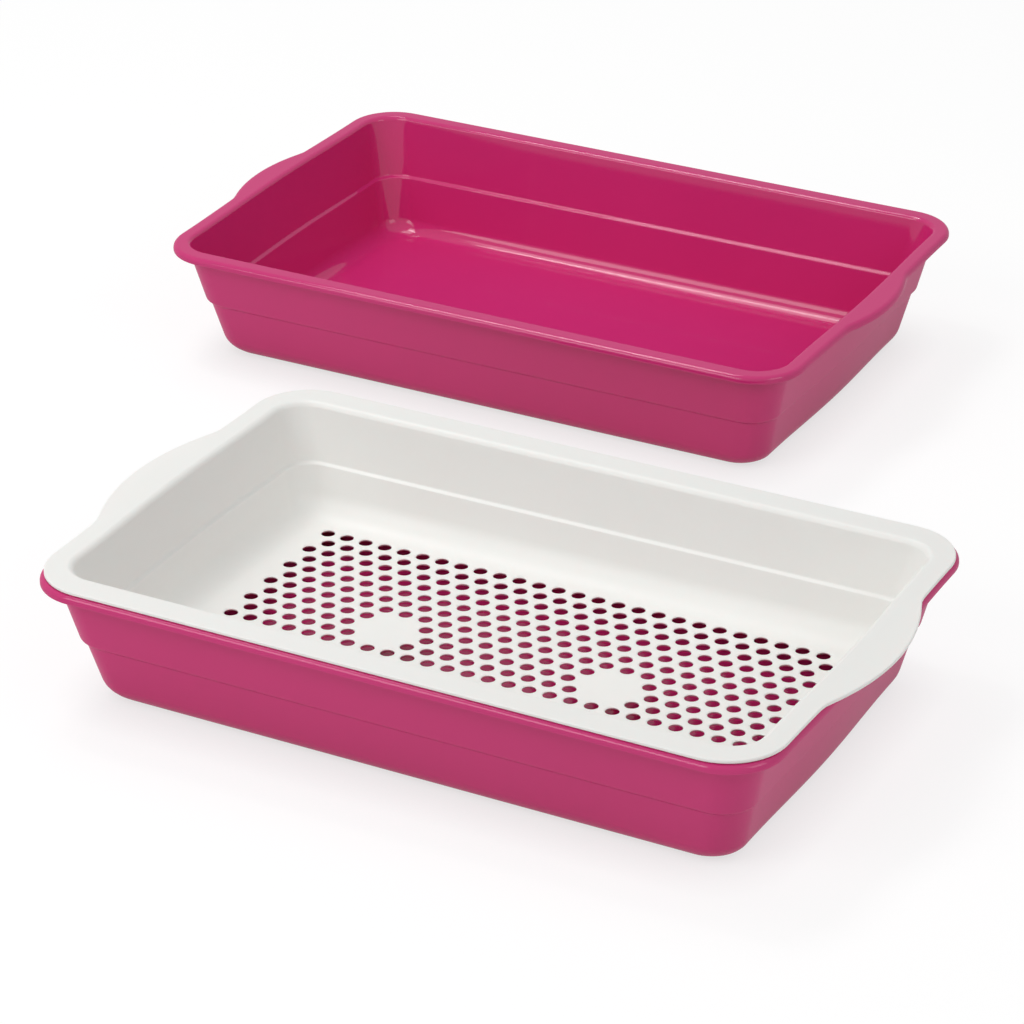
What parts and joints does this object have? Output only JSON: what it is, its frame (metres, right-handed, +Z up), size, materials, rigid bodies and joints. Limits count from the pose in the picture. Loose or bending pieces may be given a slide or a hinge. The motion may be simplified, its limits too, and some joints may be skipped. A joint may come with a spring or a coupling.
{
  "type": "sifting litter box",
  "caption": "Sifting litter box: a deep pan with a perforated sifter tray nested in it by its flange, and a spare pan like it standing behind.",
  "frame": {"origin": "on the ground, in the middle of the footprint of the whole set", "axes": "+X along the long sides of the pans, +Y from the front pan towards the spare pan, +Z up"},
  "size_m": [0.615, 0.674, 0.0773],
  "materials": {
    "magenta_plastic": "glossy moulded polypropylene",
    "white_plastic": "satin moulded polypropylene"
  },
  "bodies": {
    "lower_pan": {"lower_pan": "magenta_plastic"},
    "sifter_tray": {"sifter_tray": "white_plastic"},
    "spare_pan": {"spare_pan": "magenta_plastic"}
  },
  "joints": [
    {"name": "sifter_lift", "type": "slide", "parent": "lower_pan", "child": "sifter_tray", "axis": [0, 0, 1], "range_m": [0, 0.12]},
    {"name": "spare_pan_lift", "type": "slide", "parent": "lower_pan", "child": "spare_pan", "axis": [0, 0, 1], "range_m": [0, 0.12]}
  ]
}
